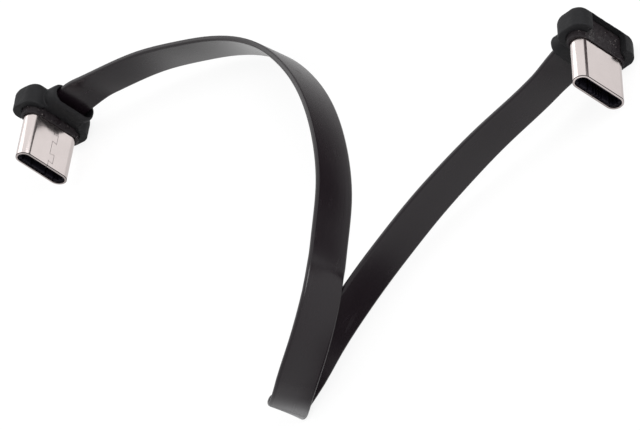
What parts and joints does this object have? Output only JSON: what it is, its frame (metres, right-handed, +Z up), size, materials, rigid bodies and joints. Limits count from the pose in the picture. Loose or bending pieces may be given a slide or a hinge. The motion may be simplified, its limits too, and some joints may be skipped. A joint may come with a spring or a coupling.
{
  "type": "usb-c cable",
  "caption": "Short flat ribbon cable with a low-profile side-exit USB-C plug at each end, lying on its edge with one tight fold.",
  "frame": {"origin": "on the surface that the cable lies on, under the middle of the box round the two plugs", "axes": "+Z up; +X from plug B towards plug A along the longer side of the box round the plugs; both mouths point roughly along -Y"},
  "size_m": [0.1042, 0.0898, 0.0114],
  "materials": {
    "ribbon": "satin near-black jacket",
    "overmould": "fine matt near-black",
    "inner_mould": "smooth near-black",
    "shell": "bright nickel plating",
    "insulator": "black moulded plastic",
    "spring_steel": "plain stainless sheet",
    "contact": "gold-plated copper alloy",
    "card": "solder-masked circuit card",
    "wire_red": "insulated wire",
    "wire_white": "insulated wire",
    "wire_green": "insulated wire",
    "wire_blue": "insulated wire",
    "wire_black": "insulated wire"
  },
  "bodies": {
    "root": {"flat_cable": "ribbon", "plug_a_card": "card", "plug_a_contact_a1": "contact", "plug_a_contact_a12": "contact", "plug_a_contact_a4": "contact", "plug_a_contact_a5": "contact", "plug_a_contact_a6": "contact", "plug_a_contact_a7": "contact", "plug_a_contact_a9": "contact", "plug_a_contact_b1": "contact", "plug_a_contact_b12": "contact", "plug_a_contact_b4": "contact", "plug_a_contact_b9": "contact", "plug_a_earth_spring_a": "spring_steel", "plug_a_earth_spring_b": "spring_steel", "plug_a_inner_mould": "inner_mould", "plug_a_insulator": "insulator", "plug_a_latch": "spring_steel", "plug_a_overmould": "overmould", "plug_a_shell": "shell", "plug_a_wire_1": "wire_red", "plug_a_wire_2": "wire_white", "plug_a_wire_3": "wire_green", "plug_a_wire_4": "wire_blue", "plug_a_wire_5": "wire_black", "plug_b_card": "card", "plug_b_contact_a1": "contact", "plug_b_contact_a12": "contact", "plug_b_contact_a4": "contact", "plug_b_contact_a5": "contact", "plug_b_contact_a6": "contact", "plug_b_contact_a7": "contact", "plug_b_contact_a9": "contact", "plug_b_contact_b1": "contact", "plug_b_contact_b12": "contact", "plug_b_contact_b4": "contact", "plug_b_contact_b9": "contact", "plug_b_earth_spring_a": "spring_steel", "plug_b_earth_spring_b": "spring_steel", "plug_b_inner_mould": "inner_mould", "plug_b_insulator": "insulator", "plug_b_latch": "spring_steel", "plug_b_overmould": "overmould", "plug_b_shell": "shell", "plug_b_wire_1": "wire_red", "plug_b_wire_2": "wire_white", "plug_b_wire_3": "wire_green", "plug_b_wire_4": "wire_blue", "plug_b_wire_5": "wire_black"}
  },
  "joints": []
}
